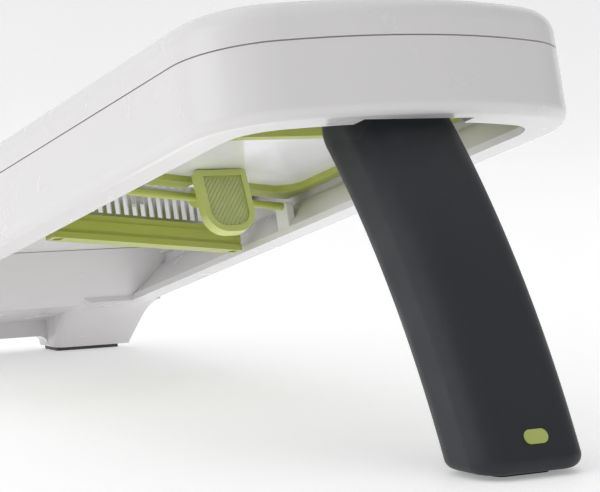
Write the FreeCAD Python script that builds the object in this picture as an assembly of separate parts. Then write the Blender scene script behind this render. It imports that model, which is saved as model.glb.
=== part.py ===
import FreeCAD, Part
import math
import os

# Mandoline slicer with a folding leg, standing on its leg and its two far feet.
# The body is modelled in a deck frame: x across, y along the deck from the near
# (leg) end to the far (foot) end, z normal to the deck with 0 at the rim's lower
# face. Every shape is then tilted about x and placed so that the floor is z = 0.

V = FreeCAD.Vector

# ---- body shell ------------------------------------------------------------
BODY_WIDTH = 140.0
BODY_LENGTH = 398.0
RIM_TOP = 38.0
SEAM_HEIGHT = 24.1
SEAM_GAP = 0.5
SEAM_DEPTH = 0.9
NEAR_BOW_RADIUS = 163.7
NEAR_CORNER_RADIUS = 31.5
FAR_BOW_RADIUS = 340.0
FAR_CORNER_RADIUS = 30.0
WALL = 3.2
LIP_WIDTH = 14.3
LIP_THICKNESS = 2.6
NOTCH_EDGE_Y = 9.3
LINER_TOP = 13.2
LINER_INSET = 5.0
LOWER_EDGE_RADIUS = 4.0
TOP_EDGE_RADIUS = 8.0
COVER_SKIN = 3.0
OPENING_HALF_WIDTH = 57.0
OPENING_NEAR = 44.0
OPENING_FAR = 376.0
OPENING_CORNER = 12.0

# ---- stance ----------------------------------------------------------------
DECK_TILT = 13.88
NEAR_RIM_HEIGHT = 106.6
STANCE_CENTRE_Y = 171.0

# ---- far feet --------------------------------------------------------------
FOOT_INNER_X = 31.0
FOOT_OUTER_X = 67.5
FOOT_START_Y = 343.0
FOOT_FRONT_Y = 382.5
FOOT_PAD_THICKNESS = 1.8
ARCH_HEIGHT = 6.6
ARCH_CORNER = 4.0
SWEEP_TOP_Y = 324.0
SWEEP_BOTTOM_Y = 350.0

# ---- slicing deck ----------------------------------------------------------
DIAGONAL_ANGLE = 25.0
BLADE_PLANE = 23.4
DECK_THICKNESS = 2.6
RAMP_TOP = 22.4
RAMP_RAIL_OUTER = 64.5
RAMP_RAIL_WIDTH = 5.0
RAMP_BOTTOM = 16.3
RAMP_FRAME_TOP = 21.2
RAMP_PANEL_BOTTOM = 18.7
RAMP_PANEL_THIN = 19.9
RAMP_HINGE_Y = 52.0
RAMP_HINGE_Z = 19.0
RAMP_RIB_Y = 98.0
RAMP_RIB_WIDTH = 4.5
CROSSBAR_NEAR = 169.0
CROSSBAR_FAR = 178.0
RAMP_EDGE = 184.0
HUB_ROOM = 1.9
BLADE_EDGE = 198.0
BLADE_BACK = 222.0
BLADE_THICKNESS = 0.8
DECK_EDGE = 208.0

# ---- thickness control -----------------------------------------------------
SHAFT_LINE = 172.5
SHAFT_Z = 11.6
SHAFT_RADIUS = 1.5
RUNNING_CLEARANCE = 0.05
SHAFT_HALF_X = 59.0
SADDLE_X = 57.4
SADDLE_WIDTH = 3.0
LEFT_CAM_X = -47.0
RIGHT_CAM_X = 27.0
CAM_WIDTH = 5.0
CAM_HIGH = 4.3
CAM_FALL = 2.0
CAM_FALL_DEG = 100.0
LEVER_X = 8.2
LEVER_WIDTH = 20.5
LEVER_TOP_Y = 157.0
LEVER_TOP_Z = 18.2
LEVER_LENGTH = 24.7
LEVER_LEAN = 11.0
LEVER_THICKNESS = 4.6
HUB_OFFSET = 4.0
HUB_RADIUS = 3.8

# ---- julienne comb ---------------------------------------------------------
BAR_LINE = 204.0
BAR_DEPTH = 7.0
BAR_HEIGHT = 9.8
BAR_HALF_X = 52.0
COMB_LINE = 205.6
COMB_HALF_X = 45.0
COMB_TIP = 21.0
COMB_PITCH = 4.6
COMB_TOOTH = 1.9
GUIDE_X = 48.0
GUIDE_SIZE = 3.0
SLIDE_CLEARANCE = 0.3

# ---- folding leg -----------------------------------------------------------
LEG_PIN_Y = 30.2
LEG_PIN_Z = 3.0
LEG_PIN_RADIUS = 2.0
LEG_HEAD_RADIUS = 15.5
LEG_WIDTH = 38.5
LEG_THICKNESS = 27.0
LEG_CORNER = 9.5
LEG_LENGTH = 140.0
LEG_TOP_ANGLE = 30.3
LEG_BOW_RADIUS = 366.0
GRIP_WALL = 2.6
LEG_END_HEIGHT = 1.3
SOLE_INSET = 9.5
TONGUE_HALF_X = 12.0
TONGUE_RADIUS = 5.3
SLOT_RADIUS = 14.5
PILL_LENGTH = 8.4
PILL_WIDTH = 4.4


def box(x0, x1, y0, y1, z0, z1):
    return Part.makeBox(x1 - x0, y1 - y0, z1 - z0, V(x0, y0, z0))


def cylinder_x(radius, x0, x1, y, z):
    return Part.makeCylinder(radius, x1 - x0, V(x0, y, z), V(1, 0, 0))


def arc(a, b, c):
    return Part.Arc(a, b, c).toShape()


def line(a, b):
    return Part.LineSegment(a, b).toShape()


def polygon_prism(points, direction):
    wire = Part.makePolygon(points + [points[0]])
    return Part.Face(wire).extrude(direction)


def mirror_x(shape):
    return shape.mirror(V(0, 0, 0), V(1, 0, 0))


def fuse(shapes):
    result = shapes[0].multiFuse(shapes[1:])
    return result.removeSplitter()


def compound(shapes):
    return Part.makeCompound(shapes)


def fillet_edges(shape, radius, test):
    edges = [edge for edge in shape.Edges if test(edge)]
    return shape.makeFillet(radius, edges)


def at_height(z, tolerance=0.01):
    def test(edge):
        bound = edge.BoundBox
        return abs(bound.ZMin - z) < tolerance and abs(bound.ZMax - z) < tolerance
    return test


def end_arcs(bow_radius, corner_radius, inset, z, y_of):
    """Corner, bow and corner arcs of one end; y_of maps depth to the deck's y."""
    half = BODY_WIDTH / 2
    corner_x = half - corner_radius
    reach = bow_radius - corner_radius
    corner_depth = bow_radius - math.sqrt(reach ** 2 - corner_x ** 2)
    tangent_angle = math.asin(corner_x / reach)
    r_bow = bow_radius - inset
    r_corner = corner_radius - inset

    def corner_point(angle):
        x = corner_x + r_corner * math.sin(angle)
        return V(x, y_of(corner_depth - r_corner * math.cos(angle)), z)

    side = corner_point(math.pi / 2)
    middle = corner_point((math.pi / 2 + tangent_angle) / 2)
    tangent = corner_point(tangent_angle)
    apex = V(0, y_of(bow_radius - r_bow), z)

    def flip(p):
        return V(-p.x, p.y, p.z)

    arcs = [arc(side, middle, tangent)]
    arcs.append(arc(tangent, apex, flip(tangent)))
    arcs.append(arc(flip(tangent), flip(middle), flip(side)))
    return arcs, side


def outline(inset, z):
    near, near_side = end_arcs(NEAR_BOW_RADIUS, NEAR_CORNER_RADIUS, inset, z, lambda d: d)
    far, far_side = end_arcs(FAR_BOW_RADIUS, FAR_CORNER_RADIUS, inset, z,
                             lambda d: BODY_LENGTH - d)
    right = line(near_side, far_side)
    left = line(V(-near_side.x, near_side.y, z), V(-far_side.x, far_side.y, z))
    edges = Part.__sortEdges__(near + far + [right, left])
    return Part.Wire(edges)


def slab(inset, z0, z1):
    return Part.Face(outline(inset, z0)).extrude(V(0, 0, z1 - z0))


def rounded_block(half_x, y0, y1, radius, z0, z1):
    block = box(-half_x, half_x, y0, y1, z0, z1)

    def upright(edge):
        bound = edge.BoundBox
        return bound.ZLength > (z1 - z0) * 0.9

    return fillet_edges(block, radius, upright)


def diagonal_y(line_y, x):
    return line_y + x * math.tan(math.radians(DIAGONAL_ANGLE))


def diagonal_block(near, far, half_x, z0, z1, x_centre=0.0):
    """Block between two diagonal lines, cut square at its sides."""
    x0 = x_centre - half_x
    x1 = x_centre + half_x
    points = [V(x0, diagonal_y(near, x0), z0), V(x1, diagonal_y(near, x1), z0),
              V(x1, diagonal_y(far, x1), z0), V(x0, diagonal_y(far, x0), z0)]
    return polygon_prism(points, V(0, 0, z1 - z0))


def diagonal_direction():
    angle = math.radians(DIAGONAL_ANGLE)
    return V(math.cos(angle), math.sin(angle), 0)


def to_floor(shape):
    """Tilt the deck frame and stand it on the floor."""
    placed = shape.copy()
    placed.rotate(V(0, 0, 0), V(1, 0, 0), -DECK_TILT)
    placed.translate(V(0, -STANCE_CENTRE_Y, NEAR_RIM_HEIGHT))
    return placed


def above_floor(height):
    """Half space above a given height over the floor, in the deck frame."""
    block = box(-300, 300, -300, 700, height, 600)
    block.translate(V(0, 0, -NEAR_RIM_HEIGHT))
    block.rotate(V(0, 0, 0), V(1, 0, 0), DECK_TILT)
    return block


def floor_z(y):
    """Deck-frame height of the floor below the deck point y."""
    tilt = math.radians(DECK_TILT)
    return (y * math.sin(tilt) - NEAR_RIM_HEIGHT) / math.cos(tilt)


# ---- white shell -----------------------------------------------------------
def foot_side_profile(x0, x1, z_floor_margin):
    """Foot seen from the side: concave sweep down from the rim to the pad."""
    front_z = floor_z(FOOT_FRONT_Y) - z_floor_margin
    far_y = BODY_LENGTH + 2
    top_z = LIP_THICKNESS
    start = V(x0, FOOT_START_Y, 0)
    middle = V(x0, FOOT_START_Y + 27.0, -8.0)
    foot = V(x0, FOOT_FRONT_Y, front_z)
    corner = V(x0, far_y, front_z)
    back = V(x0, far_y, top_z)
    top = V(x0, FOOT_START_Y, top_z)
    edges = [arc(start, middle, foot), line(foot, corner), line(corner, back),
             line(back, top), line(top, start)]
    return Part.Face(Part.Wire(edges)).extrude(V(x1 - x0, 0, 0))


def right_foot():
    swept = foot_side_profile(FOOT_INNER_X, BODY_WIDTH, 8.0)
    foot = swept.common(slab(0.3, -60, LIP_THICKNESS))
    inner_corner = [edge for edge in foot.Edges
                    if edge.BoundBox.XMax < FOOT_INNER_X + 0.2
                    and edge.BoundBox.YMax < FOOT_FRONT_Y + 0.5
                    and edge.BoundBox.ZMax < 1.0]
    foot = foot.makeFillet(5.0, inner_corner)
    return foot.common(above_floor(FOOT_PAD_THICKNESS))


def far_skirt():
    """Low wall that joins the two feet across the far end, with an arch below it."""
    wall = box(-FOOT_INNER_X - 1, FOOT_INNER_X + 1, FOOT_FRONT_Y + 4, BODY_LENGTH + 5, -60, 1)
    wall = wall.common(slab(0.3, -60, LIP_THICKNESS)).common(above_floor(ARCH_HEIGHT))
    corner = box(FOOT_INNER_X - ARCH_CORNER, FOOT_INNER_X + 1, FOOT_FRONT_Y + 4, BODY_LENGTH + 5,
                 -60, 1)
    corner = corner.common(slab(0.3, -60, LIP_THICKNESS))
    corner = corner.common(above_floor(ARCH_HEIGHT - ARCH_CORNER))
    start = V(FOOT_INNER_X - ARCH_CORNER, FOOT_FRONT_Y - 20, 0)
    hollow = Part.makeCylinder(ARCH_CORNER, 80, start, V(0, 1, 0))
    hollow.rotate(start, V(1, 0, 0), DECK_TILT)
    drop = floor_z(FOOT_FRONT_Y - 20) + (ARCH_HEIGHT - ARCH_CORNER) / math.cos(math.radians(DECK_TILT))
    hollow.translate(V(0, 0, drop))
    corner = corner.cut(hollow)
    return [wall, corner, mirror_x(corner)]


def far_closure():
    """Curved underside wall that sweeps from the deck down to the rim before the feet."""
    top_z = BLADE_PLANE - DECK_THICKNESS - 0.2
    bend = V(-90, SWEEP_TOP_Y + 8.0, 9.5)
    inner_bend = V(-90, SWEEP_TOP_Y + 11.0, 11.5)
    edges = [arc(V(-90, SWEEP_TOP_Y, top_z), bend, V(-90, SWEEP_BOTTOM_Y, 0)),
             line(V(-90, SWEEP_BOTTOM_Y, 0), V(-90, BODY_LENGTH, 0)),
             line(V(-90, BODY_LENGTH, 0), V(-90, BODY_LENGTH, LIP_THICKNESS)),
             line(V(-90, BODY_LENGTH, LIP_THICKNESS), V(-90, SWEEP_BOTTOM_Y + 2, LIP_THICKNESS)),
             arc(V(-90, SWEEP_BOTTOM_Y + 2, LIP_THICKNESS), inner_bend,
                 V(-90, SWEEP_TOP_Y + 2.6, top_z)),
             line(V(-90, SWEEP_TOP_Y + 2.6, top_z), V(-90, SWEEP_TOP_Y, top_z))]
    wall = Part.Face(Part.Wire(edges)).extrude(V(180, 0, 0))
    return wall.common(slab(WALL - 0.2, -1, 30))


def side_liner():
    """Sloping inner wall above the lip, all round the body."""
    ring = slab(WALL - 0.2, LIP_THICKNESS - 0.2, LINER_TOP)
    low = outline(LIP_WIDTH, LIP_THICKNESS - 0.3)
    high = outline(LINER_INSET, LINER_TOP + 0.1)
    return ring.cut(Part.makeLoft([low, high], True, True))


def screw_positions():
    return [(x, BODY_LENGTH - 11.5) for x in (-44.0, 44.0)]


def lower_body():
    shell = slab(0, 0, SEAM_HEIGHT)
    shell = fillet_edges(shell, LOWER_EDGE_RADIUS, at_height(0))
    shell = shell.cut(slab(WALL, LIP_THICKNESS, SEAM_HEIGHT + 1))
    shell = shell.cut(slab(LIP_WIDTH, -1, LIP_THICKNESS + 1))
    tongue = slab(SEAM_DEPTH, SEAM_HEIGHT, SEAM_HEIGHT + SEAM_GAP)
    tongue = tongue.cut(slab(WALL, SEAM_HEIGHT - 1, SEAM_HEIGHT + 2))
    foot = right_foot()
    pieces = [shell, tongue, foot, mirror_x(foot), side_liner(), far_closure()]
    pieces += far_skirt()
    inner_x = BODY_WIDTH / 2 - WALL
    ledge = box(inner_x - 3.0, inner_x + 0.5, 258.0, 365.0, 17.6, BLADE_PLANE - DECK_THICKNESS)
    pivot_boss = cylinder_x(3.6, RAMP_RAIL_OUTER + 0.5, inner_x + 0.5, RAMP_HINGE_Y, RAMP_HINGE_Z)
    pieces += [ledge, mirror_x(ledge), pivot_boss, mirror_x(pivot_boss)]
    for x, y in screw_positions():
        pieces.append(Part.makeCylinder(4.2, SEAM_HEIGHT + SEAM_GAP - LIP_THICKNESS + 0.6,
                                        V(x, y, LIP_THICKNESS - 0.6)))
    body = fuse(pieces)
    leg_half = LEG_WIDTH / 2 + 1.2
    body = body.cut(box(-leg_half, leg_half, NOTCH_EDGE_Y, LIP_WIDTH + 10, -1, 60))
    pivot_hole = cylinder_x(SHAFT_RADIUS + RUNNING_CLEARANCE, RAMP_RAIL_OUTER - 2, inner_x + 1.6,
                            RAMP_HINGE_Y, RAMP_HINGE_Z)
    body = body.cut(fuse([pivot_hole, mirror_x(pivot_hole)]))
    for x, y in screw_positions():
        body = body.cut(Part.makeCylinder(1.7, 40, V(x, y, 1.0)))
        body = body.cut(Part.makeCylinder(3.2, 43.0, V(x, y, -40.0)))
    return body


def top_cover():
    z0 = SEAM_HEIGHT + SEAM_GAP
    cover = slab(0, z0, RIM_TOP)
    cover = fillet_edges(cover, TOP_EDGE_RADIUS, at_height(RIM_TOP))
    cover = cover.cut(slab(WALL, z0 - 1, RIM_TOP - COVER_SKIN))
    opening = rounded_block(OPENING_HALF_WIDTH, OPENING_NEAR, OPENING_FAR, OPENING_CORNER,
                            BLADE_PLANE, RIM_TOP + 1)
    curb = rounded_block(OPENING_HALF_WIDTH + 2.4, OPENING_NEAR - 2.4, OPENING_FAR + 2.4,
                         OPENING_CORNER + 2.4, BLADE_PLANE, RIM_TOP - 1)
    cover = cover.cut(rounded_block(OPENING_HALF_WIDTH + 1, OPENING_NEAR - 1, OPENING_FAR + 1,
                                    OPENING_CORNER + 1, RIM_TOP - 5, RIM_TOP + 1))
    cover = fuse([cover, curb])
    cover = cover.cut(opening)
    inner_rim = [edge for edge in cover.Edges if at_height(RIM_TOP)(edge)
                 and abs(edge.BoundBox.XMin) < OPENING_HALF_WIDTH + 1.5
                 and edge.BoundBox.YMin > OPENING_NEAR - 2 and edge.BoundBox.YMax < OPENING_FAR + 2]
    if inner_rim:
        cover = cover.makeFillet(0.6, inner_rim)
    for x, y in screw_positions():
        boss = Part.makeCylinder(4.2, RIM_TOP - COVER_SKIN - z0 + 0.5, V(x, y, z0))
        cover = cover.fuse(boss)
        cover = cover.cut(Part.makeCylinder(1.3, 9.0, V(x, y, z0 - 1)))
    return cover.removeSplitter()


def landing_deck():
    inner_x = BODY_WIDTH / 2 - WALL - 0.3
    z0 = BLADE_PLANE - DECK_THICKNESS
    deck = slab(WALL + 0.3, z0, BLADE_PLANE)
    keep = [V(-inner_x - 5, diagonal_y(DECK_EDGE, -inner_x - 5), z0 - 1),
            V(inner_x + 5, diagonal_y(DECK_EDGE, inner_x + 5), z0 - 1),
            V(inner_x + 5, BODY_LENGTH, z0 - 1), V(-inner_x - 5, BODY_LENGTH, z0 - 1)]
    deck = deck.common(polygon_prism(keep, V(0, 0, 20)))
    deck = deck.cut(diagonal_block(DECK_EDGE - 2, BLADE_BACK + 0.3, 80.0,
                                   BLADE_PLANE - BLADE_THICKNESS, BLADE_PLANE + 1))
    for x, y in screw_positions():
        deck = deck.cut(Part.makeCylinder(4.6, 20, V(x, y, z0 - 5)))
    for x in blade_screw_x():
        y = diagonal_y(blade_screw_line(), x)
        deck = deck.fuse(Part.makeCylinder(3.4, 4.0, V(x, y, z0 - 3.4)))
        deck = deck.cut(Part.makeCylinder(1.2, 12.0, V(x, y, z0 - 5)))
    groove_count = 6
    for i in range(groove_count):
        x = (i - (groove_count - 1) / 2) * 17.0
        deck = deck.cut(box(x - 1.0, x + 1.0, 262.0, 366.0, BLADE_PLANE - 0.5, BLADE_PLANE + 1))
    return deck.removeSplitter()


def cover_screws():
    screws = []
    for x, y in screw_positions():
        head = Part.makeCylinder(2.9, 1.7, V(x, y, 1.2))
        head = head.cut(box(x - 2.0, x + 2.0, y - 0.4, y + 0.4, 0.8, 1.9))
        head = head.cut(box(x - 0.4, x + 0.4, y - 2.0, y + 2.0, 0.8, 1.9))
        shank = Part.makeCylinder(1.3, 26.0, V(x, y, 2.9))
        screws.append(head.fuse(shank))
    return compound(screws)


def foot_pad(side):
    block = box(FOOT_INNER_X + 1.8, BODY_WIDTH, FOOT_FRONT_Y - 1.5, BODY_LENGTH, -40, 40)
    pad = block.common(slab(1.8, -60, 10))
    pad = pad.common(above_floor(0)).cut(above_floor(FOOT_PAD_THICKNESS))
    if side < 0:
        pad = mirror_x(pad)
    return pad


# ---- ramp ------------------------------------------------------------------
def ramp_frame():
    inner = RAMP_RAIL_OUTER - RAMP_RAIL_WIDTH
    near_y = RAMP_HINGE_Y - 4.5
    outer_points = [V(-RAMP_RAIL_OUTER, near_y, RAMP_BOTTOM), V(RAMP_RAIL_OUTER, near_y, RAMP_BOTTOM),
                    V(RAMP_RAIL_OUTER, diagonal_y(CROSSBAR_FAR, RAMP_RAIL_OUTER), RAMP_BOTTOM),
                    V(-RAMP_RAIL_OUTER, diagonal_y(CROSSBAR_FAR, -RAMP_RAIL_OUTER), RAMP_BOTTOM)]
    frame = polygon_prism(outer_points, V(0, 0, RAMP_FRAME_TOP - RAMP_BOTTOM))
    window_points = [V(-inner, near_y + 9.0, 0), V(inner, near_y + 9.0, 0),
                     V(inner, diagonal_y(CROSSBAR_NEAR, inner), 0),
                     V(-inner, diagonal_y(CROSSBAR_NEAR, -inner), 0)]
    window = polygon_prism(window_points, V(0, 0, 40))
    far_corners = [edge for edge in window.Edges
                   if edge.BoundBox.ZLength > 30 and edge.BoundBox.YMin > 120]
    window = window.makeFillet(8.0, far_corners)
    frame = frame.cut(window)
    rib = box(-inner - 0.5, inner + 0.5, RAMP_RIB_Y, RAMP_RIB_Y + RAMP_RIB_WIDTH,
              RAMP_BOTTOM, RAMP_PANEL_THIN)
    barrel = cylinder_x(3.2, -inner, inner, RAMP_HINGE_Y, RAMP_HINGE_Z)
    barrel = barrel.cut(box(-80, 80, 0, 200, RAMP_FRAME_TOP, 60))
    frame = fuse([frame, rib, barrel])
    rod = cylinder_x(SHAFT_RADIUS, -80, 80, RAMP_HINGE_Y, RAMP_HINGE_Z)
    hub_room = diagonal_block(CROSSBAR_NEAR - 8, CROSSBAR_FAR + 4, 8.0, RAMP_BOTTOM - 1,
                              RAMP_BOTTOM + HUB_ROOM, LEVER_X + HUB_OFFSET)
    return frame.cut(fuse([rod, hub_room])).removeSplitter()


def ramp_window(z0, z1, near, shrink):
    inner = RAMP_RAIL_OUTER - RAMP_RAIL_WIDTH - shrink
    points = [V(-inner, near, z0), V(inner, near, z0),
              V(inner, diagonal_y(CROSSBAR_NEAR - shrink, inner), z0),
              V(-inner, diagonal_y(CROSSBAR_NEAR - shrink, -inner), z0)]
    block = polygon_prism(points, V(0, 0, z1 - z0))
    far_corners = [edge for edge in block.Edges
                   if edge.BoundBox.ZLength > (z1 - z0) * 0.9 and edge.BoundBox.YMin > 120]
    return block.makeFillet(8.0 - shrink, far_corners)


def ramp_panel():
    thin = ramp_window(RAMP_PANEL_THIN, RAMP_FRAME_TOP, RAMP_HINGE_Y + 4.6, 0.1)
    thick = ramp_window(RAMP_PANEL_BOTTOM, RAMP_PANEL_THIN, RAMP_RIB_Y + RAMP_RIB_WIDTH + 0.1, 0.1)
    return fuse([thin, thick])


def ramp_plate():
    half = OPENING_HALF_WIDTH - 0.5
    near = OPENING_NEAR + 0.6
    points = [V(-half, near, RAMP_FRAME_TOP), V(half, near, RAMP_FRAME_TOP),
              V(half, diagonal_y(RAMP_EDGE, half), RAMP_FRAME_TOP),
              V(-half, diagonal_y(RAMP_EDGE, -half), RAMP_FRAME_TOP)]
    plate = polygon_prism(points, V(0, 0, RAMP_TOP - RAMP_FRAME_TOP))
    ridge_count = 9
    ridges = []
    for i in range(ridge_count):
        x = (i - (ridge_count - 1) / 2) * 11.0
        far = diagonal_y(RAMP_EDGE, x) - 9.0
        ridges.append(box(x - 0.9, x + 0.9, near + 18.0, far, RAMP_TOP - 0.1, RAMP_TOP + 0.35))
    return fuse([plate] + ridges)


def ramp_hinge_rod():
    half = BODY_WIDTH / 2 - WALL + 1.2
    return cylinder_x(SHAFT_RADIUS, -half, half, RAMP_HINGE_Y, RAMP_HINGE_Z)


# ---- blade -----------------------------------------------------------------
def blade_screw_x():
    return [-42.0, 0.0, 42.0]


def blade_screw_line():
    return (DECK_EDGE + BLADE_BACK) / 2


def main_blade():
    z0 = BLADE_PLANE - BLADE_THICKNESS
    half = OPENING_HALF_WIDTH + 1.5
    blade = diagonal_block(BLADE_EDGE, BLADE_BACK, half, z0, BLADE_PLANE)
    bevel = 3.0
    wedge = []
    for x in (-half - 1, half + 1):
        y = diagonal_y(BLADE_EDGE, x)
        wedge.append(Part.makePolygon([V(x, y - 1, z0 + 0.12), V(x, y - 1, BLADE_PLANE + 1),
                                       V(x, y + bevel, BLADE_PLANE + 1), V(x, y + bevel, BLADE_PLANE),
                                       V(x, y, z0 + 0.12), V(x, y - 1, z0 + 0.12)]))
    blade = blade.cut(Part.makeLoft(wedge, True, True))
    for x in blade_screw_x():
        y = diagonal_y(blade_screw_line(), x)
        blade = blade.cut(Part.makeCylinder(1.5, 4, V(x, y, z0 - 1)))
    return blade


def blade_screws():
    screws = []
    for x in blade_screw_x():
        y = diagonal_y(blade_screw_line(), x)
        shank = Part.makeCylinder(1.2, 4.4, V(x, y, BLADE_PLANE - 4.4))
        head = Part.makeCylinder(2.6, 0.6, V(x, y, BLADE_PLANE))
        head = head.cut(box(x - 1.8, x + 1.8, y - 0.3, y + 0.3, BLADE_PLANE + 0.3, BLADE_PLANE + 2))
        head = head.cut(box(x - 0.3, x + 0.3, y - 1.8, y + 1.8, BLADE_PLANE + 0.3, BLADE_PLANE + 2))
        screws.append(head.fuse(shank))
    return compound(screws)


# ---- thickness control -----------------------------------------------------
def shaft_point(x):
    return V(x, diagonal_y(SHAFT_LINE, x), SHAFT_Z)


def shaft_cylinder(radius, x0, x1):
    start = shaft_point(x0)
    length = (x1 - x0) / math.cos(math.radians(DIAGONAL_ANGLE))
    return Part.makeCylinder(radius, length, start, diagonal_direction())


def control_shaft():
    return shaft_cylinder(SHAFT_RADIUS, -SHAFT_HALF_X, SHAFT_HALF_X)


def thickness_cam(centre_x):
    """Falling-rise cam: highest at the top, dropping steadily as the lever turns."""
    length = CAM_WIDTH
    reach = math.tan(math.radians(DIAGONAL_ANGLE))
    arm = diagonal_y(SHAFT_LINE, centre_x) - RAMP_HINGE_Y
    middle_arm = SHAFT_LINE - RAMP_HINGE_Y
    fall = CAM_FALL * arm / middle_arm
    axis = diagonal_direction()
    start = shaft_point(centre_x) - axis * (length / 2)
    across = V(0, 0, 1).cross(axis)
    points = []
    steps = 36
    for i in range(steps):
        angle = 360.0 * i / steps
        if angle <= CAM_FALL_DEG:
            radius = CAM_HIGH - fall * angle / CAM_FALL_DEG
        elif angle <= 320.0:
            radius = CAM_HIGH - fall
        else:
            radius = CAM_HIGH - fall * (360.0 - angle) / 40.0
        a = math.radians(angle)
        points.append(start + across * (radius * math.sin(a)) + V(0, 0, radius * math.cos(a)))
    curve = Part.BSplineCurve()
    curve.interpolate(Points=points, PeriodicFlag=True)
    cam = Part.Face(Part.Wire(curve.toShape())).extrude(axis * length)
    bore = shaft_cylinder(SHAFT_RADIUS, -SHAFT_HALF_X, SHAFT_HALF_X)
    return cam.cut(bore)


def shaft_saddle(side):
    """Snap-in bearing post that stands on the rim lip and holds a shaft end."""
    x = side * SADDLE_X
    y = diagonal_y(SHAFT_LINE, x)
    half = SADDLE_WIDTH / 2
    post = box(x - half, x + half, y - 4.5, y + 4.5, LIP_THICKNESS, SHAFT_Z)
    crown = cylinder_x(4.0, x - half, x + half, y, SHAFT_Z)
    post = post.fuse(crown)
    post = post.common(box(x - half, x + half, y - 6, y + 6, LIP_THICKNESS, SHAFT_Z + 1.15))
    post = post.cut(side_liner())
    return post.cut(shaft_cylinder(SHAFT_RADIUS + RUNNING_CLEARANCE, -80, 80)).removeSplitter()


def thickness_lever():
    """Paddle hanging in front of the control shaft, with an arm and a hub."""
    hub_x = LEVER_X + HUB_OFFSET
    hub = shaft_cylinder(HUB_RADIUS, hub_x - 6.0, hub_x + 6.0)
    half = LEVER_WIDTH / 2
    top = LEVER_LENGTH
    tip_radius = 8.5
    edges = [line(V(-half, 0, top), V(half, 0, top)),
             line(V(half, 0, top), V(half, 0, tip_radius)),
             arc(V(half, 0, tip_radius), V(half - tip_radius * 0.293, 0, tip_radius * 0.293),
                 V(half - tip_radius, 0, 0)),
             line(V(half - tip_radius, 0, 0), V(-half + tip_radius, 0, 0)),
             arc(V(-half + tip_radius, 0, 0), V(-half + tip_radius * 0.293, 0, tip_radius * 0.293),
                 V(-half, 0, tip_radius)),
             line(V(-half, 0, tip_radius), V(-half, 0, top))]
    plate = Part.Face(Part.Wire(edges)).extrude(V(0, LEVER_THICKNESS, 0))
    inset = 2.3
    ih = half - inset
    it = tip_radius - inset
    inner = [line(V(-ih, 0, top - inset), V(ih, 0, top - inset)),
             line(V(ih, 0, top - inset), V(ih, 0, tip_radius)),
             arc(V(ih, 0, tip_radius), V(ih - it * 0.293, 0, inset + it * 0.293),
                 V(ih - it, 0, inset)),
             line(V(ih - it, 0, inset), V(-ih + it, 0, inset)),
             arc(V(-ih + it, 0, inset), V(-ih + it * 0.293, 0, inset + it * 0.293),
                 V(-ih, 0, tip_radius)),
             line(V(-ih, 0, tip_radius), V(-ih, 0, top - inset))]
    pocket = Part.Face(Part.Wire(inner)).extrude(V(0, 0.9, 0))
    plate = plate.cut(pocket)
    plate.translate(V(LEVER_X, 0, -top))
    plate.rotate(V(0, 0, 0), V(1, 0, 0), -LEVER_LEAN)
    plate.translate(V(0, LEVER_TOP_Y, LEVER_TOP_Z))
    hub_y = diagonal_y(SHAFT_LINE, hub_x)
    arm = box(hub_x - 5.0, hub_x + 5.0, LEVER_TOP_Y + 2.5, hub_y, SHAFT_Z - 3.1, SHAFT_Z + 3.1)
    lever = fuse([plate, hub, arm])
    return lever.cut(shaft_cylinder(SHAFT_RADIUS, -80, 80)).removeSplitter()


# ---- julienne comb ---------------------------------------------------------
def comb_bar():
    lower = diagonal_block(BAR_LINE, BAR_LINE + BAR_DEPTH, BAR_HALF_X, 0, 2.4)
    neck = diagonal_block(BAR_LINE + 0.7, BAR_LINE + BAR_DEPTH, BAR_HALF_X, 2.2, 4.0)
    upper = diagonal_block(BAR_LINE + 0.2, BAR_LINE + BAR_DEPTH, BAR_HALF_X, 3.8, 7.4)
    ledge = diagonal_block(BAR_LINE + 0.6, BAR_LINE + BAR_DEPTH, BAR_HALF_X, 7.2, BAR_HEIGHT)
    bar = fuse([lower, neck, upper, ledge])
    slot_half = GUIDE_SIZE / 2 + SLIDE_CLEARANCE
    for side in (-1, 1):
        x = side * GUIDE_X
        y = diagonal_y(BAR_LINE + BAR_DEPTH / 2, x)
        bar = bar.cut(box(x - slot_half, x + slot_half, y - slot_half, y + slot_half, -5, 20))
    seat = diagonal_block(COMB_LINE - 0.45, COMB_LINE + 0.45, COMB_HALF_X, BAR_HEIGHT - 4.0,
                          BAR_HEIGHT + 2)
    return bar.cut(seat).removeSplitter()


def julienne_comb():
    base = diagonal_block(COMB_LINE - 0.45, COMB_LINE + 0.45, COMB_HALF_X, BAR_HEIGHT - 4.0,
                          BAR_HEIGHT + 1.2)
    teeth = [base]
    count = int(2 * (COMB_HALF_X - 2.0) / COMB_PITCH)
    for i in range(count + 1):
        x = (i - count / 2) * COMB_PITCH
        blank = diagonal_block(COMB_LINE - 0.45, COMB_LINE + 0.45, COMB_TOOTH / 2,
                               BAR_HEIGHT + 1.0, COMB_TIP - 2.0, x)
        y = diagonal_y(COMB_LINE, x)
        tip = Part.makeCone(COMB_TOOTH / 2, 0.3, 2.2, V(x, y, COMB_TIP - 2.2))
        tip = tip.common(diagonal_block(COMB_LINE - 0.45, COMB_LINE + 0.45, COMB_TOOTH,
                                        COMB_TIP - 3, COMB_TIP + 1, x))
        teeth += [blank, tip]
    return fuse(teeth)


def comb_guide(side):
    x = side * GUIDE_X
    y = diagonal_y(BAR_LINE + BAR_DEPTH / 2, x)
    half = GUIDE_SIZE / 2
    top = BLADE_PLANE - DECK_THICKNESS
    post = box(x - half, x + half, y - half, y + half, 3.0, top)
    flange = box(x - half - 1, x + half + 1, y - half, y + half + 4, top - 1.4, top)
    return post.fuse(flange).removeSplitter()


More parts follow.
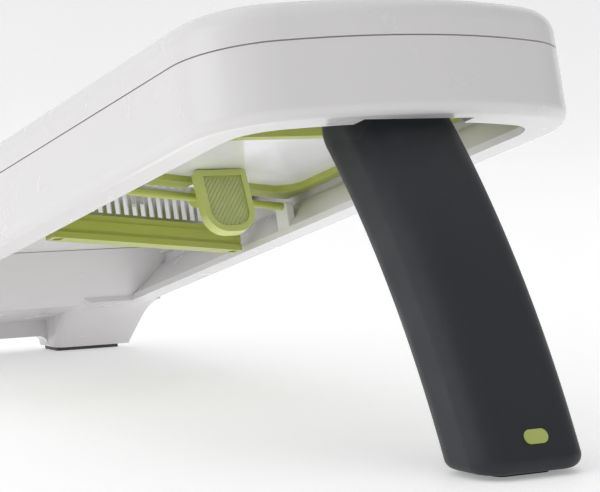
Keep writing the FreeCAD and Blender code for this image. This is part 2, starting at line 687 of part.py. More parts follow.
# ---- folding leg -----------------------------------------------------------
def leg_arc_centre():
    angle = math.radians(LEG_TOP_ANGLE)
    return V(0, LEG_PIN_Y + LEG_BOW_RADIUS * math.cos(angle),
             LEG_PIN_Z - LEG_BOW_RADIUS * math.sin(angle))


def leg_arc_point(offset, travel, x):
    """Point beside the leg's centre arc: offset towards the outer (near) face."""
    centre = leg_arc_centre()
    angle = math.radians(LEG_TOP_ANGLE) - travel / LEG_BOW_RADIUS
    radius = LEG_BOW_RADIUS + offset
    return V(x, centre.y - radius * math.cos(angle), centre.z + radius * math.sin(angle))


def leg_blank(width, thickness, corner, start):
    half = width / 2
    depth = thickness / 2
    front0 = leg_arc_point(depth, start, -half)
    front1 = leg_arc_point(depth, LEG_LENGTH / 2, -half)
    front2 = leg_arc_point(depth, LEG_LENGTH, -half)
    rear0 = leg_arc_point(-depth, start, -half)
    rear1 = leg_arc_point(-depth, LEG_LENGTH / 2, -half)
    rear2 = leg_arc_point(-depth, LEG_LENGTH, -half)
    if start == 0:
        cap = V(-half, LEG_PIN_Y, LEG_PIN_Z)
        angle = math.radians(LEG_TOP_ANGLE)
        top = cap + V(0, depth * math.sin(angle), depth * math.cos(angle))
        head = arc(rear0, top, front0)
    else:
        head = line(rear0, front0)
    edges = [arc(front0, front1, front2), line(front2, rear2), arc(rear2, rear1, rear0), head]
    blank = Part.Face(Part.Wire(edges)).extrude(V(width, 0, 0))
    long_edges = [edge for edge in blank.Edges
                  if edge.BoundBox.XLength < 0.01 and edge.Length > LEG_LENGTH * 0.7]
    return blank.makeFillet(corner, long_edges)


def leg_outer():
    leg = leg_blank(LEG_WIDTH, LEG_THICKNESS, LEG_CORNER, 0)
    return leg.common(above_floor(LEG_END_HEIGHT))


def leg_foot_rounded():
    leg = leg_outer()
    normal_edges = []
    for edge in leg.Edges:
        world = to_floor(Part.makeCompound([edge])).BoundBox
        if world.ZMax < LEG_END_HEIGHT + 0.1:
            normal_edges.append(edge)
    return leg.makeFillet(3.6, normal_edges)


def leg_slot():
    slot = cylinder_x(SLOT_RADIUS, -TONGUE_HALF_X - 0.4, TONGUE_HALF_X + 0.4, LEG_PIN_Y, LEG_PIN_Z)
    return slot


def leg_inner_core():
    inner = leg_blank(LEG_WIDTH - 2 * GRIP_WALL, LEG_THICKNESS - 2 * GRIP_WALL,
                      LEG_CORNER - GRIP_WALL, 5.0)
    return inner.common(above_floor(7.5))


def leg_head_zone():
    """Space around the pin that belongs to the bare head of the core."""
    zone = cylinder_x(LEG_HEAD_RADIUS, -30, 30, LEG_PIN_Y, LEG_PIN_Z)
    return zone.common(above_floor(NEAR_RIM_HEIGHT - 8.5))


def leg_core(full):
    head = full.common(leg_head_zone())
    core = fuse([leg_inner_core(), head])
    core = core.cut(leg_slot())
    return core.cut(leg_pin())


def pill_prism(depth_in, depth_out, grow):
    """Stadium prism through the leg's outer face near its foot."""
    travel = 118.0
    base = leg_arc_point(LEG_THICKNESS / 2, travel, 0)
    angle = math.radians(LEG_TOP_ANGLE) - travel / LEG_BOW_RADIUS
    normal = V(0, -math.cos(angle), math.sin(angle))
    along = V(0, math.sin(angle), math.cos(angle))
    half = PILL_LENGTH / 2 - PILL_WIDTH / 2
    radius = PILL_WIDTH / 2 + grow
    origin = base - normal * depth_in
    a = origin + V(-half, 0, 0)
    b = origin + V(half, 0, 0)
    side = V(1, 0, 0)
    edges = [line(a + along * radius, b + along * radius),
             arc(b + along * radius, b + side * radius, b - along * radius),
             line(b - along * radius, a - along * radius),
             arc(a - along * radius, a - side * radius, a + along * radius)]
    return Part.Face(Part.Wire(edges)).extrude(normal * (depth_in + depth_out))


def leg_grip(full, core):
    grip = full.cut(core).cut(leg_head_zone()).cut(leg_slot())
    grip = grip.cut(pill_prism(1.2, 3.0, 0.0))
    grip = grip.cut(sole_block(-1, 5.0))
    solids = sorted(grip.Solids, key=lambda s: s.Volume)
    return solids[-1]


def sole_block(z0, z1):
    """Block under the leg between two heights above the floor."""
    blank = leg_blank(LEG_WIDTH - 2 * SOLE_INSET, LEG_THICKNESS - 2 * SOLE_INSET, 3.0, 20.0)
    block = blank.common(above_floor(z0))
    return block.cut(above_floor(z1))


def leg_sole():
    return sole_block(0.0, 5.0)


def leg_pill():
    return pill_prism(1.2, 0.3, 0.0)


def leg_pin():
    half = LEG_WIDTH / 2 - 1.5
    return cylinder_x(LEG_PIN_RADIUS, -half, half, LEG_PIN_Y, LEG_PIN_Z)


def leg_bracket():
    base_z = RIM_TOP - COVER_SKIN
    tongue = box(-TONGUE_HALF_X, TONGUE_HALF_X, LEG_PIN_Y - TONGUE_RADIUS, LEG_PIN_Y + TONGUE_RADIUS,
                 LEG_PIN_Z, base_z - 1)
    eye = cylinder_x(TONGUE_RADIUS, -TONGUE_HALF_X, TONGUE_HALF_X, LEG_PIN_Y, LEG_PIN_Z)
    base = box(-24.0, 24.0, 12.0, 40.0, base_z - 3.0, base_z)
    gusset = polygon_prism([V(-2, LEG_PIN_Y - 4, 18.0), V(-2, LEG_PIN_Y - 4, base_z - 1),
                            V(-2, 13.5, base_z - 1)], V(4, 0, 0))
    bracket = fuse([tongue, eye, base, gusset])
    bracket = bracket.cut(cylinder_x(LEG_PIN_RADIUS + RUNNING_CLEARANCE, -30, 30,
                                     LEG_PIN_Y, LEG_PIN_Z))
    for x, y in bracket_screw_positions():
        bracket = bracket.cut(Part.makeCylinder(1.5, 10, V(x, y, base_z - 6)))
    return bracket.removeSplitter()


def bracket_screw_positions():
    return [(x, y) for x in (-19.0, 19.0) for y in (17.0, 35.0)]


def bracket_screws():
    base_z = RIM_TOP - COVER_SKIN
    screws = []
    for x, y in bracket_screw_positions():
        head = Part.makeCylinder(2.7, 1.6, V(x, y, base_z - 4.6))
        head = head.cut(box(x - 1.9, x + 1.9, y - 0.4, y + 0.4, base_z - 5, base_z - 4.0))
        shank = Part.makeCylinder(1.4, 3.0, V(x, y, base_z - 3.0))
        screws.append(head.fuse(shank))
    return compound(screws)


def leg_detent_spring():
    y1 = LEG_PIN_Y - TONGUE_RADIUS
    blade = box(5.0, 10.0, y1 - 0.8, y1, 6.0, 30.0)
    foot = box(5.0, 10.0, y1 - 7.0, y1, 30.0, 30.8)
    bump = Part.makeCylinder(1.6, 5.0, V(5.0, y1 - 0.8, 9.0), V(1, 0, 0))
    bump = bump.cut(box(0, 20, y1, y1 + 10, 0, 40))
    return fuse([blade, foot, bump])


# ---- assembly --------------------------------------------------------------
def build():
    full_leg = leg_foot_rounded()
    core = leg_core(full_leg)
    nodes = {
        "lower_body": lower_body(),
        "top_cover": top_cover(),
        "landing_deck": landing_deck(),
        "cover_screws": cover_screws(),
        "left_foot_pad": foot_pad(-1),
        "right_foot_pad": foot_pad(1),
        "leg_bracket": leg_bracket(),
        "bracket_screws": bracket_screws(),
        "leg_detent_spring": leg_detent_spring(),
        "leg_core": core,
        "leg_grip": leg_grip(full_leg, core),
        "leg_pill": leg_pill(),
        "leg_sole": leg_sole(),
        "leg_pin": leg_pin(),
        "ramp_frame": ramp_frame(),
        "ramp_panel": ramp_panel(),
        "ramp_plate": ramp_plate(),
        "ramp_hinge_rod": ramp_hinge_rod(),
        "main_blade": main_blade(),
        "blade_screws": blade_screws(),
        "control_shaft": control_shaft(),
        "cam_left": thickness_cam(LEFT_CAM_X),
        "cam_right": thickness_cam(RIGHT_CAM_X),
        "shaft_saddle_left": shaft_saddle(-1),
        "shaft_saddle_right": shaft_saddle(1),
        "thickness_lever": thickness_lever(),
        "comb_bar": comb_bar(),
        "julienne_comb": julienne_comb(),
        "comb_guide_left": comb_guide(-1),
        "comb_guide_right": comb_guide(1),
    }
    return {name: to_floor(shape) for name, shape in nodes.items()}


def main():
    os.makedirs("parts", exist_ok=True)
    for name, shape in build().items():
        shape.exportStep("parts/" + name + ".step")
        bound = shape.BoundBox
        print(name, len(shape.Solids), shape.isValid(), round(shape.Volume),
              [round(value, 1) for value in (bound.XMin, bound.XMax, bound.YMin, bound.YMax,
                                             bound.ZMin, bound.ZMax)])


main()
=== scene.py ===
import math
import bmesh
import bpy
from mathutils import Matrix, Vector


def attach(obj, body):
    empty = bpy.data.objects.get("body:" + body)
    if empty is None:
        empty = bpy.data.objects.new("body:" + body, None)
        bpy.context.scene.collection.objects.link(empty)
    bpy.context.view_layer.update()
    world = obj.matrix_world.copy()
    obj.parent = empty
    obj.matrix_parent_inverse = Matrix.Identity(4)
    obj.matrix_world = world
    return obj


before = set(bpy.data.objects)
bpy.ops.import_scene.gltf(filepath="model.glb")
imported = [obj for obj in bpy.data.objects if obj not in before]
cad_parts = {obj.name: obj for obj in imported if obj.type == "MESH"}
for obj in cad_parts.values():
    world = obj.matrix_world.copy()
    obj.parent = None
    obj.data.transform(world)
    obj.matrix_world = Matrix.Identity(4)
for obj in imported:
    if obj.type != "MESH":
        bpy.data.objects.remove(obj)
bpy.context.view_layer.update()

# Deck frame of the part: x across, u along the deck from the leg end, w normal to it.
TILT = math.radians(13.88)
STANCE_CENTRE = 0.1710
NEAR_RIM_HEIGHT = 0.1066
HALF_WIDTH = 0.070
BODY_LENGTH = 0.398

# Plan of the shell's rounded ends: a wide bow between two tighter corners.
NEAR_BOW_RADIUS = 0.1637
NEAR_CORNER_RADIUS = 0.0315
FAR_BOW_RADIUS = 0.340
FAR_CORNER_RADIUS = 0.030

# Groove between the two shells, and the taupe strip set back in it as painted shade for the dark
# seam line.
SEAM_HEIGHT = 0.0241
SEAM_GAP = 0.0005
SHADE_STRIP_BACK = 0.0009
SHADE_STRIP_FACE = 0.00045
SHADE_STRIP_ROUNDING = 0.00005

# Thickness paddle: its top end, lean and outline.
LEVER_X = 0.0082
LEVER_LEAN = math.radians(11.0)
LEVER_TOP = (0.157, 0.0182)
LEVER_LENGTH = 0.0247
LEVER_HALF = 0.01025
LEVER_CORNER = 0.0085
LEVER_INSET = 0.0023

# Grip ribs on the paddle's sunk face.
RIB_SPACING = 0.00135
RIB_HALF_WIDTH = 0.00036
RIB_HEIGHT = 0.00062
RIB_SLANT = math.radians(52)
RIB_MARGIN = 0.0004
RIB_TAPER = 0.0004
RIB_END_SCALE = 0.35
RIB_ROWS_EACH_WAY = 13
RIB_PROBE_STEP = 0.0002
RIB_PROBE_COUNT = 90
RIB_SHORTEST = 6
FACE_SUNK = 0.00095

# Small tab over the paddle's top edge.
TAB_OVERLAP = 0.0008
TAB_RISE = 0.0005
TAB_HALF_WIDTH = 0.0034
TAB_NEAR = -0.0006
TAB_FAR = -0.0022
TAB_ROUNDING = 0.0006

# Surface detail: noise scales per metre, bump depths in metres.
NOISE_LOW = 0.3
NOISE_HIGH = 0.7
SCUFF_RANGE = (0.60, 0.78)
COAT_ROUGHNESS = 0.12
DRIFT_SCALE = 9.0
SCRATCH_SCALE = 45.0
SCRATCH_DEPTH = 0.0003
GRAIN_DEPTH = 0.0004
SOFT_DRIFT_SCALE = 14.0
PEBBLE_SCALE = 1500.0
PEBBLE_DEPTH = 0.0002
SMUDGE_SCALE = 38.0
SMUDGE_DEPTH = 0.0004
STAIN_SCALE = 22.0
BRUSH_ACROSS = 900.0
BRUSH_ALONG = 18.0
BRUSH_DEPTH = 0.0002

# Studio floor, which curves up into a backdrop.
FLOOR_REACH = 14.0
FLOOR_FAR_EDGE = 3.0
BACKDROP_CURVE = 2.0
BACKDROP_TOP = 9.0
BACKDROP_STEPS = 12
FLOOR_GLOW = 0.28

# Brightness of the surrounding room, with a darker gap at the front left.
LEFT_GLOW = 1.12
RIGHT_GLOW = 0.30
GAP_DIRECTION = (-0.50, -0.86, 0.0)
GAP_SPREAD = (0.45, 0.95)
GAP_GLOW = 0.28

# Camera.
CAMERA_PLACE = (-0.37576, -0.73477, 0.10504)
CAMERA_YAW = math.radians(-30.08)
CAMERA_PITCH = math.radians(-3.32)
CAMERA_ROLL = math.radians(-1.0)
CAMERA_LENS = 132.0
CAMERA_SENSOR = 36.0
CAMERA_REACH = 60.0


def deck(x, u, w):
    """Row-frame point of a deck-frame point, all in metres."""
    y = u * math.cos(TILT) + w * math.sin(TILT) - STANCE_CENTRE
    z = NEAR_RIM_HEIGHT - u * math.sin(TILT) + w * math.cos(TILT)
    return Vector((x, y, z))


# ---- materials --------------------------------------------------------------
def map_range(tree, source, low_in, high_in, low_out, high_out):
    """Stretch a value from one range to another, clamped at both ends."""
    node = tree.nodes.new("ShaderNodeMapRange")
    node.inputs["From Min"].default_value = low_in
    node.inputs["From Max"].default_value = high_in
    node.inputs["To Min"].default_value = low_out
    node.inputs["To Max"].default_value = high_out
    tree.links.new(source, node.inputs["Value"])
    return node.outputs["Result"]


class Nodes:
    """A new material and short ways to add and link its shader nodes."""

    def __init__(self, name):
        self.material = bpy.data.materials.new(name)
        self.material.use_nodes = True
        self.tree = self.material.node_tree
        self.shader = self.tree.nodes["Principled BSDF"]
        self.coords = self.tree.nodes.new("ShaderNodeTexCoord").outputs["Object"]

    def add(self, kind, **values):
        node = self.tree.nodes.new(kind)
        for key, value in values.items():
            if key in node.inputs:
                node.inputs[key].default_value = value
            else:
                setattr(node, key, value)
        return node

    def link(self, source, target):
        self.tree.links.new(source, target)

    def mapping(self, scale=(1, 1, 1), rotation=(0, 0, 0)):
        node = self.add("ShaderNodeMapping")
        node.inputs["Scale"].default_value = scale
        node.inputs["Rotation"].default_value = rotation
        self.link(self.coords, node.inputs["Vector"])
        return node.outputs["Vector"]

    def noise(self, scale, detail=3.0, roughness=0.5, vector=None):
        node = self.add("ShaderNodeTexNoise", Scale=scale, Detail=detail, Roughness=roughness)
        self.link(vector or self.coords, node.inputs["Vector"])
        return node.outputs["Fac"]

    def ramp(self, source, dark, light):
        node = self.add("ShaderNodeValToRGB")
        stops = ((NOISE_LOW, dark), (NOISE_HIGH, light))
        for element, (position, colour) in zip(node.color_ramp.elements, stops):
            element.position = position
            element.color = (*colour, 1)
        self.link(source, node.inputs["Fac"])
        return node.outputs["Color"]

    def span(self, source, low, high, start=NOISE_LOW, end=NOISE_HIGH):
        return map_range(self.tree, source, start, end, low, high)

    def bump(self, height, strength, distance, previous=None):
        node = self.add("ShaderNodeBump", Strength=strength, Distance=distance)
        self.link(height, node.inputs["Height"])
        if previous is not None:
            self.link(previous, node.inputs["Normal"])
        self.link(node.outputs["Normal"], self.shader.inputs["Normal"])
        return node.outputs["Normal"]

    def set(self, **values):
        for key, value in values.items():
            self.shader.inputs[key.replace("_", " ")].default_value = value


def moulded(name, dark, light, rough, grain, grain_scale, scuff, coat=0.0, wear=0.3,
            scratch=0.03):
    """Moulded plastic: slow colour drift, fine grain, faint handling scuffs."""
    n = Nodes(name)
    drift = n.noise(DRIFT_SCALE)
    fine = n.noise(grain_scale, 4.0, 0.6)
    scratches = n.noise(SCRATCH_SCALE, 5.0, 0.62, n.mapping((1.0, 1.6, 1.0), (0.3, 0.2, 0.7)))
    mix = n.add("ShaderNodeMix", data_type="RGBA")
    n.link(n.span(scratches, 0.0, wear, *SCUFF_RANGE), mix.inputs["Factor"])
    n.link(n.ramp(drift, dark, light), mix.inputs["A"])
    mix.inputs["B"].default_value = (*scuff, 1)
    n.link(mix.outputs["Result"], n.shader.inputs["Base Color"])
    n.link(n.span(scratches, rough[0], rough[1]), n.shader.inputs["Roughness"])
    normal = n.bump(fine, grain, GRAIN_DEPTH)
    n.bump(scratches, scratch, SCRATCH_DEPTH, normal)
    n.set(Coat_Weight=coat, Coat_Roughness=COAT_ROUGHNESS)
    return n.material


def soft_touch(name, dark, light):
    """Rubber-like soft coating with a fine pebble and a little sheen."""
    n = Nodes(name)
    drift = n.noise(SOFT_DRIFT_SCALE)
    pebble = n.add("ShaderNodeTexVoronoi", Scale=PEBBLE_SCALE)
    n.link(n.coords, pebble.inputs["Vector"])
    smudge = n.noise(SMUDGE_SCALE, 5.0, 0.65)
    n.link(n.ramp(drift, dark, light), n.shader.inputs["Base Color"])
    n.link(n.span(smudge, 0.42, 0.58), n.shader.inputs["Roughness"])
    normal = n.bump(pebble.outputs["Distance"], 0.12, PEBBLE_DEPTH)
    n.bump(smudge, 0.04, SMUDGE_DEPTH, normal)
    n.set(Specular_IOR_Level=0.35, Sheen_Weight=0.04, Sheen_Roughness=0.5)
    return n.material


def brushed(name, dark, light, direction, rough=(0.22, 0.38)):
    """Brushed stainless steel with fine lines along one direction."""
    n = Nodes(name)
    stretch = [BRUSH_ACROSS] * 3
    stretch[direction] = BRUSH_ALONG
    lines = n.noise(1.0, 5.0, 0.6, n.mapping(stretch))
    stain = n.noise(STAIN_SCALE, 4.0)
    n.link(n.ramp(stain, dark, light), n.shader.inputs["Base Color"])
    n.link(n.span(lines, rough[0], rough[1]), n.shader.inputs["Roughness"])
    n.bump(lines, 0.10, BRUSH_DEPTH)
    n.set(Metallic=1.0)
    return n.material


white_gloss = moulded("white_gloss", (0.795, 0.780, 0.785), (0.810, 0.795, 0.800), (0.24, 0.28),
                      0.008, 900.0, coat=0.3, wear=0.05, scuff=(0.79, 0.78, 0.78), scratch=0.0)
deck_white = moulded("deck_white", (0.80, 0.80, 0.80), (0.85, 0.85, 0.85), (0.28, 0.40),
                     0.03, 700.0, coat=0.15, wear=0.2, scuff=(0.75, 0.75, 0.75))
white_inner = moulded("white_inner", (0.76, 0.76, 0.75), (0.81, 0.81, 0.80), (0.36, 0.50),
                      0.05, 700.0, scuff=(0.70, 0.70, 0.69))
pale_panel = moulded("pale_panel", (0.84, 0.84, 0.89), (0.90, 0.90, 0.95), (0.16, 0.24),
                     0.02, 500.0, coat=0.4, wear=0.2, scuff=(0.88, 0.88, 0.92))
green = moulded("green_plastic", (0.39, 0.44, 0.075), (0.44, 0.49, 0.095), (0.30, 0.44),
                0.05, 800.0, coat=0.1, scuff=(0.42, 0.49, 0.12))
# Painted light: a lighter copy of the frame green, standing in for the light falling on the paddle.
lever_green = moulded("lever_green", (0.50, 0.56, 0.15), (0.55, 0.61, 0.19), (0.34, 0.46),
                      0.05, 800.0, coat=0.1, scuff=(0.54, 0.59, 0.24))
# Painted highlight: paler, greyer green on the grip ribs, standing in for light catching them.
rib_painted_highlight = moulded("rib_painted_highlight", (0.52, 0.57, 0.28), (0.58, 0.63, 0.34), (0.4, 0.52),
                     0.05, 800.0, scuff=(0.62, 0.67, 0.4))
lime = moulded("lime_pill", (0.42, 0.49, 0.12), (0.48, 0.55, 0.15), (0.26, 0.38),
               0.03, 900.0, coat=0.2, scuff=(0.54, 0.60, 0.24))
grip = soft_touch("charcoal_grip", (0.017, 0.020, 0.025), (0.022, 0.0255, 0.031))
core = moulded("charcoal_core", (0.016, 0.019, 0.024), (0.021, 0.024, 0.030), (0.42, 0.55),
               0.06, 600.0, scuff=(0.035, 0.038, 0.043))
pad_rubber = soft_touch("pad_grey", (0.07, 0.075, 0.08), (0.10, 0.105, 0.11))
sole_rubber = soft_touch("sole_rubber", (0.018, 0.018, 0.02), (0.03, 0.03, 0.033))
steel = brushed("steel", (0.48, 0.48, 0.48), (0.60, 0.60, 0.60), 0)
blade_steel = brushed("blade_steel", (0.55, 0.55, 0.545), (0.66, 0.66, 0.65), 0, (0.16, 0.30))
ramp_steel = brushed("ramp_steel", (0.52, 0.52, 0.52), (0.62, 0.62, 0.62), 1)
# Painted shade: taupe colour on the strip in the seam groove, standing in for the groove's shade.
seam_painted_shade = moulded("seam_taupe_painted_shade", (0.36, 0.31, 0.285), (0.42, 0.365, 0.335), (0.5, 0.65),
                      0.05, 900.0, scuff=(0.46, 0.42, 0.39))

NODE_MATERIALS = {
    white_gloss: ["lower_body", "top_cover"],
    deck_white: ["landing_deck"],
    white_inner: ["leg_bracket", "shaft_saddle_left", "shaft_saddle_right",
                  "comb_guide_left", "comb_guide_right"],
    pale_panel: ["ramp_panel"],
    green: ["ramp_frame", "control_shaft", "cam_left", "cam_right", "comb_bar"],
    lever_green: ["thickness_lever"],
    lime: ["leg_pill"],
    grip: ["leg_grip"],
    core: ["leg_core"],
    pad_rubber: ["left_foot_pad", "right_foot_pad"],
    sole_rubber: ["leg_sole"],
    steel: ["cover_screws", "bracket_screws", "blade_screws", "leg_detent_spring", "leg_pin",
            "ramp_hinge_rod"],
    blade_steel: ["main_blade", "julienne_comb"],
    ramp_steel: ["ramp_plate"],
}
for material, names in NODE_MATERIALS.items():
    for name in names:
        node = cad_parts[name]
        for index in range(len(node.data.materials)):
            node.data.materials[index] = material
        if not node.data.materials:
            node.data.materials.append(material)


# ---- mesh helpers -----------------------------------------------------------
def add_piece(name, mesh, material, body, smooth=True):
    """Put a finished mesh in the scene, riding on a body and filling a slot."""
    mesh.materials.append(material)
    for polygon in mesh.polygons:
        polygon.use_smooth = smooth
    obj = bpy.data.objects.new(name, mesh)
    bpy.context.scene.collection.objects.link(obj)
    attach(obj, body)


def mesh_object(name, vertices, faces, material, body, smooth=True):
    """A piece from its vertices and faces, with the faces turned outwards."""
    mesh = bpy.data.meshes.new(name)
    mesh.from_pydata([tuple(v) for v in vertices], [], faces)
    bm = bmesh.new()
    bm.from_mesh(mesh)
    bmesh.ops.recalc_face_normals(bm, faces=bm.faces)
    bm.to_mesh(mesh)
    bm.free()
    add_piece(name, mesh, material, body, smooth)


def rounded_bar(name, corners, radius, material, body):
    """A piece from the eight corners of a flat bar, with softened edges."""
    bm = bmesh.new()
    cage = [bm.verts.new(p) for p in corners]
    order = ((0, 1, 2, 3), (4, 5, 6, 7), (0, 1, 5, 4), (1, 2, 6, 5), (2, 3, 7, 6), (3, 0, 4, 7))
    for face in order:
        bm.faces.new([cage[i] for i in face])
    bmesh.ops.recalc_face_normals(bm, faces=bm.faces)
    bmesh.ops.bevel(bm, geom=list(bm.edges), offset=radius, segments=3, profile=0.5,
                    affect="EDGES")
    mesh = bpy.data.meshes.new(name)
    bm.to_mesh(mesh)
    bm.free()
    add_piece(name, mesh, material, body)


def end_arc(bow_radius, corner_radius, inset, steps):
    """Points (x, depth) of one rounded end from the right side to the left side."""
    corner_x = HALF_WIDTH - corner_radius
    reach = bow_radius - corner_radius
    corner_depth = bow_radius - math.sqrt(reach ** 2 - corner_x ** 2)
    tangent = math.asin(corner_x / reach)
    radius = corner_radius - inset
    points = []
    for i in range(steps):
        angle = math.pi / 2 + (tangent - math.pi / 2) * i / (steps - 1)
        points.append((corner_x + radius * math.sin(angle),
                       corner_depth - radius * math.cos(angle)))
    bow = bow_radius - inset
    for i in range(1, steps):
        angle = tangent * (1 - i / (steps - 1))
        points.append((bow * math.sin(angle), bow_radius - bow * math.cos(angle)))
    return points + [(-x, d) for x, d in reversed(points[:-1])]


def body_outline(inset, steps=14):
    """Closed plan outline (x, u) of the shell, moved inwards by the inset."""
    near = end_arc(NEAR_BOW_RADIUS, NEAR_CORNER_RADIUS, inset, steps)
    far = [(x, BODY_LENGTH - d) for x, d in end_arc(FAR_BOW_RADIUS, FAR_CORNER_RADIUS, inset, steps)]
    return near + list(reversed(far))


def seam_strip():
    """Taupe strip set back in the groove between the two shells, painted shade for the dark seam
    line.
    """
    section = ((SHADE_STRIP_BACK, SEAM_HEIGHT), (SHADE_STRIP_FACE, SEAM_HEIGHT + SHADE_STRIP_ROUNDING),
               (SHADE_STRIP_FACE, SEAM_HEIGHT + SEAM_GAP - SHADE_STRIP_ROUNDING),
               (SHADE_STRIP_BACK, SEAM_HEIGHT + SEAM_GAP))
    rings = [[deck(x, u, w) for x, u in body_outline(inset)] for inset, w in section]
    count = len(rings[0])
    vertices = [v for ring in rings for v in ring]
    faces = []
    for r in range(len(rings)):
        s = (r + 1) % len(rings)
        for i in range(count):
            j = (i + 1) % count
            faces.append((r * count + i, r * count + j, s * count + j, s * count + i))
    mesh_object("seam_shade_strip", vertices, faces, seam_painted_shade, "base", False)


def on_paddle(x, rise, out):
    """Row-frame point on the paddle: rise above its lower end, out of its near face."""
    down = LEVER_LENGTH - rise
    u = LEVER_TOP[0] - down * math.sin(LEVER_LEAN) - out * math.cos(LEVER_LEAN)
    w = LEVER_TOP[1] - down * math.cos(LEVER_LEAN) + out * math.sin(LEVER_LEAN)
    return deck(LEVER_X + x, u, w)


def inside_inset(x, rise, margin):
    """Whether a point of the paddle's face lies in its sunk area, with a margin to spare."""
    half = LEVER_HALF - LEVER_INSET - margin
    corner = LEVER_CORNER - LEVER_INSET - margin
    if abs(x) > half or rise > LEVER_LENGTH - LEVER_INSET - margin:
        return False
    if rise >= LEVER_CORNER:
        return True
    dx = max(abs(x) - (half - corner), 0.0)
    dy = LEVER_CORNER - rise
    return math.hypot(dx, dy) <= corner


def rib_ends(offset, direction, across):
    """Four stations along one rib, thin at both ends, or None where the rib is too short."""
    base = Vector((0, LEVER_LENGTH / 2)) + across * offset
    run = [base + direction * (i * RIB_PROBE_STEP)
           for i in range(-RIB_PROBE_COUNT, RIB_PROBE_COUNT + 1)]
    inside = [p for p in run if inside_inset(p.x, p.y, RIB_MARGIN)]
    if len(inside) < RIB_SHORTEST:
        return None
    return [inside[0], inside[0] + direction * RIB_TAPER,
            inside[-1] - direction * RIB_TAPER, inside[-1]]


def paddle_ribs():
    """Slim diagonal grip ribs on the paddle's sunk face, each a rounded bar."""
    direction = Vector((math.cos(RIB_SLANT), math.sin(RIB_SLANT)))
    across = Vector((-direction.y, direction.x))
    ring = [math.radians(angle) for angle in (0, 45, 90, 135, 180)]
    count = len(ring)
    last = count - 1
    vertices, faces = [], []
    for k in range(-RIB_ROWS_EACH_WAY, RIB_ROWS_EACH_WAY + 1):
        ends = rib_ends(k * RIB_SPACING, direction, across)
        if ends is None:
            continue
        first = len(vertices)
        for point, grow in zip(ends, (RIB_END_SCALE, 1.0, 1.0, RIB_END_SCALE)):
            for angle in ring:
                p = point + across * (RIB_HALF_WIDTH * grow * math.cos(angle))
                rise = RIB_HEIGHT * grow * math.sin(angle)
                vertices.append(on_paddle(p.x, p.y, rise - FACE_SUNK))
        for i in range(len(ends) - 1):
            start = first + i * count
            for j in range(last):
                a = start + j
                faces.append((a, a + 1, a + count + 1, a + count))
            faces.append((start, start + count, start + count + last, start + last))
        for start in (first, first + (len(ends) - 1) * count):
            faces.append(tuple(start + j for j in range(count)))
    mesh_object("paddle_ribs", vertices, faces, rib_painted_highlight, "lever")


def paddle_tab():
    """Small rounded tab over the top edge of the paddle."""
    corners = [on_paddle(x, rise, out)
               for rise in (LEVER_LENGTH - TAB_OVERLAP, LEVER_LENGTH + TAB_RISE)
               for x, out in ((-TAB_HALF_WIDTH, TAB_NEAR), (TAB_HALF_WIDTH, TAB_NEAR),
                              (TAB_HALF_WIDTH, TAB_FAR), (-TAB_HALF_WIDTH, TAB_FAR))]
    rounded_bar("paddle_tab", corners, TAB_ROUNDING, lever_green, "lever")


seam_strip()
paddle_ribs()
paddle_tab()


# ---- floor, light, camera ---------------------------------------------------
def floor_and_backdrop():
    """Pale seamless studio paper, a little self-lit."""
    n = Nodes("studio_floor")
    n.link(n.ramp(n.noise(1.5), (0.90, 0.90, 0.905), (0.92, 0.92, 0.925)),
           n.shader.inputs["Base Color"])
    n.link(n.span(n.noise(6.0), 0.55, 0.7), n.shader.inputs["Roughness"])
    n.set(Emission_Color=(1, 1, 1, 1), Emission_Strength=FLOOR_GLOW)
    rows = [(-FLOOR_REACH, 0.0), (FLOOR_FAR_EDGE, 0.0)]
    for i in range(1, BACKDROP_STEPS + 1):
        angle = math.pi / 2 * i / BACKDROP_STEPS
        rows.append((FLOOR_FAR_EDGE + BACKDROP_CURVE * math.sin(angle),
                     BACKDROP_CURVE - BACKDROP_CURVE * math.cos(angle)))
    rows.append((FLOOR_FAR_EDGE + BACKDROP_CURVE, BACKDROP_TOP))
    vertices = []
    for y, z in rows:
        vertices += [(-FLOOR_REACH, y, z), (FLOOR_REACH, y, z)]
    faces = [(2 * i, 2 * i + 1, 2 * i + 3, 2 * i + 2) for i in range(len(rows) - 1)]
    mesh = bpy.data.meshes.new("floor")
    mesh.from_pydata(vertices, [], faces)
    mesh.materials.append(n.material)
    for polygon in mesh.polygons:
        polygon.use_smooth = True
    floor = bpy.data.objects.new("floor", mesh)
    bpy.context.scene.collection.objects.link(floor)


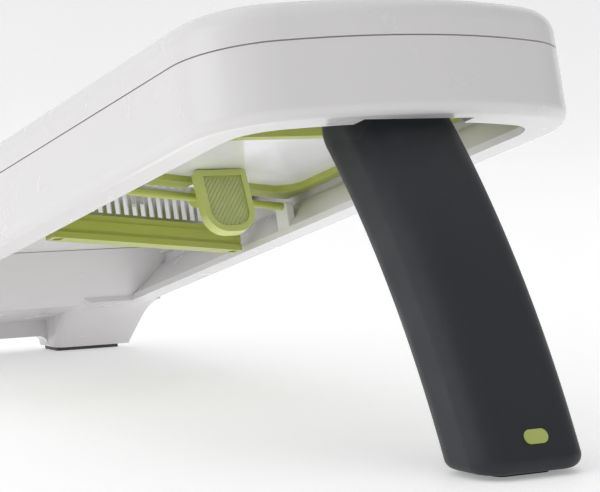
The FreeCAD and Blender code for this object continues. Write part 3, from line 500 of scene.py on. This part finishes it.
def studio_surroundings(tree):
    """Soft white room: bright on the left, dimmer on the right and in the front-left gap."""
    direction = tree.nodes.new("ShaderNodeTexCoord").outputs["Generated"]
    split = tree.nodes.new("ShaderNodeSeparateXYZ")
    tree.links.new(direction, split.inputs[0])
    side = map_range(tree, split.outputs["X"], -1, 1, LEFT_GLOW, RIGHT_GLOW)
    facing = tree.nodes.new("ShaderNodeVectorMath")
    facing.operation = "DOT_PRODUCT"
    facing.inputs[1].default_value = GAP_DIRECTION
    tree.links.new(direction, facing.inputs[0])
    gap = map_range(tree, facing.outputs["Value"], *GAP_SPREAD, 1.0, GAP_GLOW)
    product = tree.nodes.new("ShaderNodeMath")
    product.operation = "MULTIPLY"
    tree.links.new(side, product.inputs[0])
    tree.links.new(gap, product.inputs[1])
    background = tree.nodes["Background"]
    background.inputs["Color"].default_value = (1.0, 1.0, 1.0, 1)
    tree.links.new(product.outputs["Value"], background.inputs["Strength"])


def area_light(name, location, target, size, power):
    """Soft rectangular light aimed at a target and hidden from the camera."""
    data = bpy.data.lights.new(name, "AREA")
    data.shape = "RECTANGLE"
    data.size, data.size_y = size
    data.energy = power
    light = bpy.data.objects.new(name, data)
    light.location = location
    direction = Vector(target) - Vector(location)
    light.rotation_euler = direction.to_track_quat("-Z", "Y").to_euler()
    light.visible_camera = False
    bpy.context.scene.collection.objects.link(light)


floor_and_backdrop()
bpy.context.scene.view_settings.view_transform = "Standard"
world = bpy.data.worlds.new("studio")
world.use_nodes = True
bpy.context.scene.world = world
studio_surroundings(world.node_tree)
area_light("key_left", (-2.2, 0.3, 1.0), (0, 0, 0.05), (1.8, 1.6), 6.0)
area_light("top_soft", (0.2, 0.3, 2.4), (0, 0, 0), (2.6, 2.6), 7.0)
area_light("low_front", (-0.7, -1.7, 0.12), (0, 0.05, 0.10), (1.6, 0.3), 0.8)
area_light("bounce_card", (0, -0.03, 0.004), (0, -0.03, 1), (0.07, 0.12), 0.020)


def place_camera():
    """Long lens at the front left, turned, tipped down and rolled by small angles."""
    forward = Vector((-math.sin(CAMERA_YAW) * math.cos(CAMERA_PITCH),
                      math.cos(CAMERA_YAW) * math.cos(CAMERA_PITCH), math.sin(CAMERA_PITCH)))
    level_right = Vector((math.cos(CAMERA_YAW), math.sin(CAMERA_YAW), 0))
    level_up = level_right.cross(forward)
    right = level_right * math.cos(CAMERA_ROLL) + level_up * math.sin(CAMERA_ROLL)
    up = level_up * math.cos(CAMERA_ROLL) - level_right * math.sin(CAMERA_ROLL)
    data = bpy.data.cameras.new("camera")
    data.sensor_width = CAMERA_SENSOR
    data.lens = CAMERA_LENS
    data.clip_end = CAMERA_REACH
    obj = bpy.data.objects.new("camera", data)
    matrix = Matrix((right, up, -forward)).transposed().to_4x4()
    matrix.translation = Vector(CAMERA_PLACE)
    obj.matrix_world = matrix
    bpy.context.scene.collection.objects.link(obj)
    bpy.context.scene.camera = obj


place_camera()
